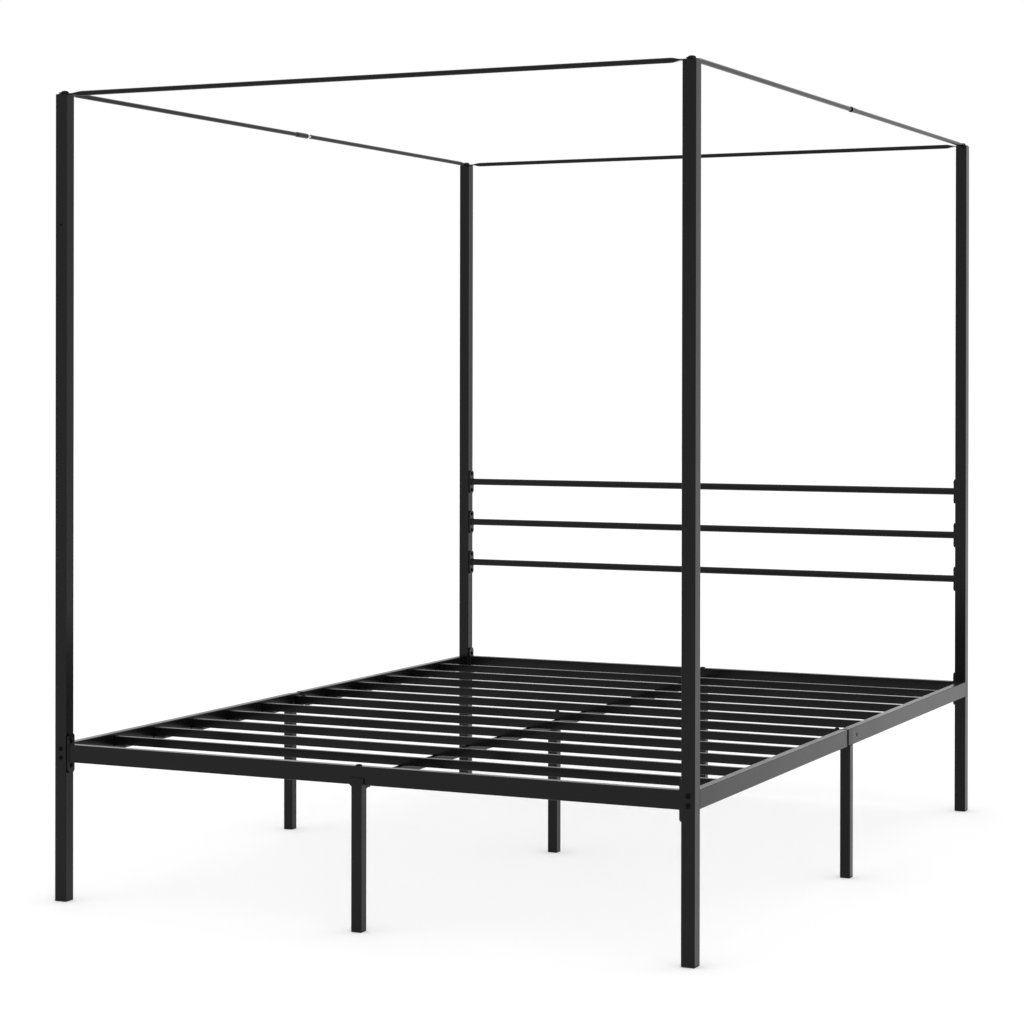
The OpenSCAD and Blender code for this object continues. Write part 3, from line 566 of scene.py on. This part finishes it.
def bolt_rings(seat, out, head_r, head_h, shank_r, shank_l):
    """Rings of a button head bolt, from the tip of the shank to the floor of its socket."""
    socket_r = SOCKET_SHARE * shank_r
    mouth_r = MOUTH_SHARE * socket_r
    rim_h = RIM_SHARE * head_h
    dome_h = head_h - rim_h
    last = math.acos(mouth_r / head_r)
    chamfer = CHAMFER_SHARE * shank_r
    turned = [(shank_r - chamfer, -shank_l), (shank_r, chamfer - shank_l), (shank_r, 0)]
    # The rolled edge under the rim
    turned += [(0.95 * head_r, 0), (0.99 * head_r, 0.3 * rim_h)]
    for k in range(dome_steps + 1):
        a = last * k / dome_steps
        turned.append((head_r * math.cos(a), rim_h + dome_h * math.sin(a) / math.sin(last)))
    side = out.orthogonal().normalized()
    front = out.cross(side)
    turns = [math.tau * k / bolt_sides for k in range(bolt_sides)]
    spokes = [(a, math.cos(a) * side + math.sin(a) * front) for a in turns]
    rings = [[seat + h * out + r * spoke for _, spoke in spokes] for r, h in turned]
    for depth in (SOCKET_TOP, SOCKET_FLOOR):
        middle_of_ring = seat + (1 - depth) * head_h * out
        rings.append([middle_of_ring + hexagon(a, socket_r) * spoke for a, spoke in spokes])
    return rings


BOLT_NODES = (
    "end_rail_bolts",
    "side_rail_bolts",
    "side_rail_joint_screws",
    "headboard_bolts",
    "canopy_bolts",
    "slat_bolts",
    "beam_end_screws",
    "leg_bolts",
)
for node in BOLT_NODES:
    mesh = bmesh.new()
    for points in islands(node):
        shell(mesh, bolt_rings(*read_bolt(points)))
    add_piece("turned_" + node, mesh, "bolt_steel", node)

# %% [markdown]
# ## Glides
# A moulded glide is a plug with a foot. The mould gives every edge a small radius and the
# foot stands back a hair from the tube, which leaves the fine shadow line at the floor. The
# outline is a square with round corners, and the profile says how far it is drawn in at
# each height.

# %% Glides under the posts and legs
foot_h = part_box("post_foot_left")[0].z
foot_inset = 0.0001
plug_inset = 0.0014
plug_top = foot_h + 0.016
plug_lead = 0.001
# Each point is a height above the floor and how far the outline is drawn in there
GLIDE_PROFILE = (
    (0, 0.0014),
    (0.0002, 0.0008),
    (0.0007, 0.0003),
    (0.0015, foot_inset),
    (foot_h - 0.0003, foot_inset),
    (foot_h, 0.0004),
    (foot_h, plug_inset),
    (plug_top - plug_lead, plug_inset),
    (plug_top, plug_inset + plug_lead),
)


def around(width, height, radius, step):
    """Points round a rectangle with round corners, each with its outward direction."""
    found = []
    for quarter in range(4):
        w, h = (width, height) if quarter % 2 == 0 else (height, width)
        side_l = h - 2 * radius
        side_n = max(1, round(side_l / step)) if side_l > 0 else 0
        arc_n = max(4, round(math.pi / 2 * radius / step))
        local = [(w / 2, -side_l / 2 + side_l * k / side_n, 0.0) for k in range(side_n)]
        for k in range(arc_n):
            a = math.pi / 2 * k / arc_n
            u = w / 2 - radius + radius * math.cos(a)
            local.append((u, side_l / 2 + radius * math.sin(a), a))
        turn = quarter * math.pi / 2
        c, s = math.cos(turn), math.sin(turn)
        for u, v, a in local:
            found.append((u * c - v * s, u * s + v * c, math.cos(a + turn), math.sin(a + turn)))
    return found


def glide_rings(centre, side, corner):
    """Rings of one glide, from its sole to the top of its plug."""
    square = around(side, side, corner, side)
    rings = []
    for z, inset in GLIDE_PROFILE:
        rings.append([])
        for u, v, nu, nv in square:
            rings[-1].append(Vector((centre.x + u - inset * nu, centre.y + v - inset * nv, z)))
    return rings


def tube_foot(node):
    """Middle and side of the square tube whose lower end stands on a glide."""
    low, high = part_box(node)
    return (low + high) / 2, high.x - low.x


POSTS = ("post_foot_left", "post_foot_right", "post_head_left", "post_head_right")
SIMPLE_LEGS = ("leg_foot_centre", "leg_head_centre", "leg_left", "leg_right")
post_corner = 0.0015
leg_corner = 0.002

mesh = bmesh.new()
for node in POSTS:
    shell(mesh, glide_rings(*tube_foot(node), post_corner))
add_piece("moulded_post_glides", mesh, "glide_plastic", "post_glides")

mesh = bmesh.new()
for node in SIMPLE_LEGS:
    shell(mesh, glide_rings(*tube_foot(node), leg_corner))
# The saddle on the middle leg is longer than the tube, so its place comes from a side leg
side_centre, leg_side = tube_foot("leg_left")
shell(mesh, glide_rings(Vector((0, side_centre.y, 0)), leg_side, leg_corner))
add_piece("moulded_leg_glides", mesh, "glide_plastic", "leg_glides")

# %% [markdown]
# ## Weld beads
# The rails and the headboard bars are welded to their end plates all round. A bead under
# powder coat is a soft rope with ripples, one for each drop of the weld pool. It could be a
# torus, but then it would look like a rubber ring. The rings here follow the outline of the
# tube, and their radius swells over each ripple and drops at its end.

# %% Beads
plate_thick = 0.005
bead_r = 0.0016
ripple_l = 0.0024
ripple_share = 0.16
bead_step = 0.0006
bead_sides = 8


def bead_rings(centre, out, width, height, corner):
    """Rings of a bead around a tube that meets a plate at centre; out is the tube's axis."""
    rings = []
    across = UP.cross(out)
    path = around(width, height, corner, bead_step)
    turns = [math.tau * k / bead_sides for k in range(bead_sides)]
    ripples = round(len(path) * bead_step / ripple_l)
    for i, (u, v, nu, nv) in enumerate(path):
        phase = (i * ripples / len(path)) % 1
        radius = bead_r * (1 - ripple_share * phase * phase)
        spot = centre + u * across + v * UP
        away = nu * across + nv * UP
        rings.append([spot + radius * (math.cos(a) * away + math.sin(a) * out) for a in turns])
    return rings


def add_beads(name, nodes, width, height, corner):
    """A bead at both ends of each node."""
    mesh = bmesh.new()
    for node in nodes:
        low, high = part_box(node)
        for sign, plate_x in ((1, low.x + plate_thick), (-1, high.x - plate_thick)):
            centre = Vector((plate_x, middle(node).y, middle(node).z))
            shell(mesh, bead_rings(centre, Vector((sign, 0, 0)), width, height, corner), loop=True)
    add_piece(name, mesh, "frame_steel")


rail_t = 0.020
rail_h = 0.040
rail_corner = 0.002
add_beads("rail_weld_beads", ("foot_rail", "head_rail"), rail_t, rail_h, rail_corner)
bar_d = 0.019
BARS = ("headboard_bar_top", "headboard_bar_middle", "headboard_bar_low")
add_beads("bar_weld_beads", BARS, bar_d, bar_d, bar_d / 2)

# %% [markdown]
# ## The camera
# The bed is seen from beyond the right foot post, from chest height, with a long lens that
# is held level so that the posts stay upright. Tilting the camera down would also take in
# the floor, but the posts would lean, so the lens is shifted down a little instead.

# %% Camera
def look(yaw, pitch, twist):
    """Camera rotation from a heading east of +Y, a tilt down and a roll."""
    level = math.cos(pitch)
    ahead = Vector((math.sin(yaw) * level, math.cos(yaw) * level, -math.sin(pitch)))
    turn = ahead.to_track_quat("-Z", "Y").to_matrix()
    return (turn @ Matrix.Rotation(twist, 3, "Z")).to_euler()


camera_place = (2.6059, -5.8315, 1.1793)
heading = math.radians(-25.082)
tilt_down = math.radians(0.164)
roll = math.radians(0.091)

lens = bpy.data.cameras.new("camera")
lens.sensor_width = 36.0
lens.lens = 89.4
lens.shift_y = -0.1201
camera = bpy.data.objects.new("camera", lens)
camera.location = camera_place
camera.rotation_euler = look(heading, tilt_down, roll)
bpy.context.scene.collection.objects.link(camera)
bpy.context.scene.camera = camera
print("camera stands", round(camera.location.xy.length, 2), "m from the middle of the bed")

# %% [markdown]
# ## The studio
# A packshot of a black object is lit by its surroundings more than by lamps: every face
# shows a reflection of the room. A few softboxes would leave bright stripes on the tubes,
# so the bed stands in a tent instead, which is an even white world. The floor is a large
# white sheet that glows a little, as the light table of a packshot studio does, so that it
# is as bright as the tent and no horizon shows.

# %% Floor and tent
def flat_sheet(name, size):
    mesh = bpy.data.meshes.new(name)
    half = size / 2
    corners = [(-half, -half, 0), (half, -half, 0), (half, half, 0), (-half, half, 0)]
    mesh.from_pydata(corners, [], [(0, 1, 2, 3)])
    sheet = bpy.data.objects.new(name, mesh)
    bpy.context.scene.collection.objects.link(sheet)
    return sheet


floor_size = 60.0
floor_roughness = 0.9
GLOW = {"Emission Color": (1, 1, 1, 1), "Emission Strength": 0.16}
PAPER_LOW = (0.93, 0.93, 0.93, 1)
PAPER_HIGH = (0.95, 0.95, 0.95, 1)

floor = flat_sheet("floor", floor_size)
paper = Finish("floor_paper", {**GLOW, "Specular IOR Level": 0.0})
paper_tone = paper.mix(paper.noise(0.4, detail=3.0), PAPER_LOW, PAPER_HIGH)
floor.data.materials.append(paper.wear(paper_tone, floor_roughness))

world = bpy.data.worlds.new("tent")
world.use_nodes = True
bpy.context.scene.world = world
tent = world.node_tree.nodes["Background"]
tent.inputs["Color"].default_value = (1, 1, 1, 1)
tent.inputs["Strength"].default_value = 1.0
bpy.context.scene.view_settings.view_transform = "Standard"
print("studio is ready, tent strength", tent.inputs["Strength"].default_value)
